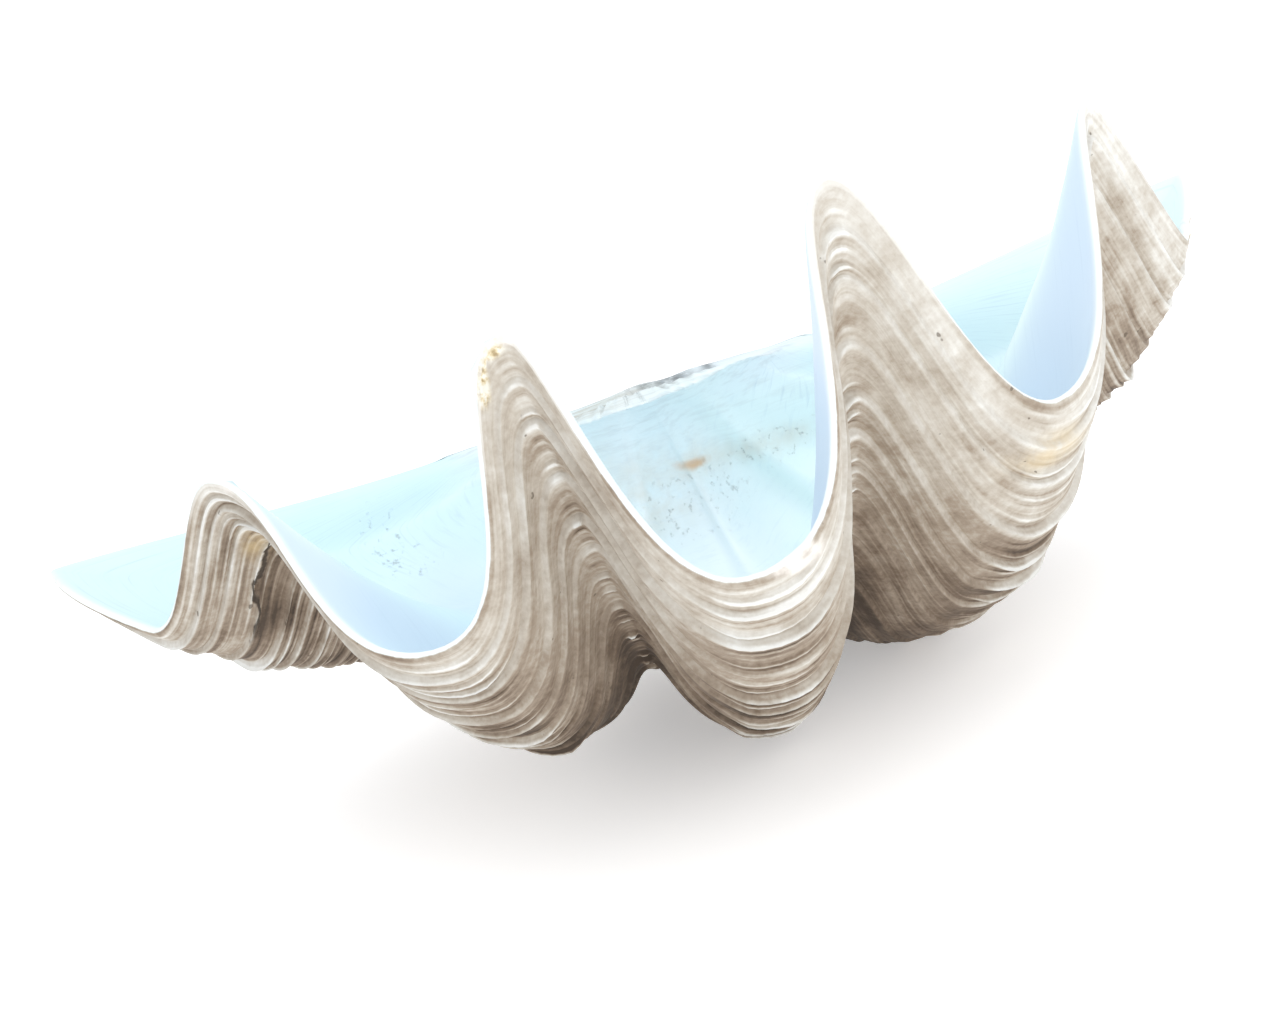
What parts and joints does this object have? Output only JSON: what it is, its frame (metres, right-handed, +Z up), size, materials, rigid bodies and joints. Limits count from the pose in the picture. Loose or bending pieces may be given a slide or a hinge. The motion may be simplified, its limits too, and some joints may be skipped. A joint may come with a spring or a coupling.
{
  "type": "giant clam half shell",
  "caption": "One half of a giant clam shell, a deep ribbed bowl with a tall wavy rim that lies open side up on its ribs.",
  "frame": {"origin": "middle of the bounding box, level with the worn flats on the lowest ribs that it rests on", "axes": "+X from the left tip to the right tip, seen from the wavy rim; +Y from the wavy rim to the hinge; +Z up, out of the open side"},
  "size_m": [0.7672, 0.4401, 0.348],
  "materials": {
    "shell": "matte"
  },
  "bodies": {
    "root": {"half_shell": "shell"}
  },
  "joints": []
}
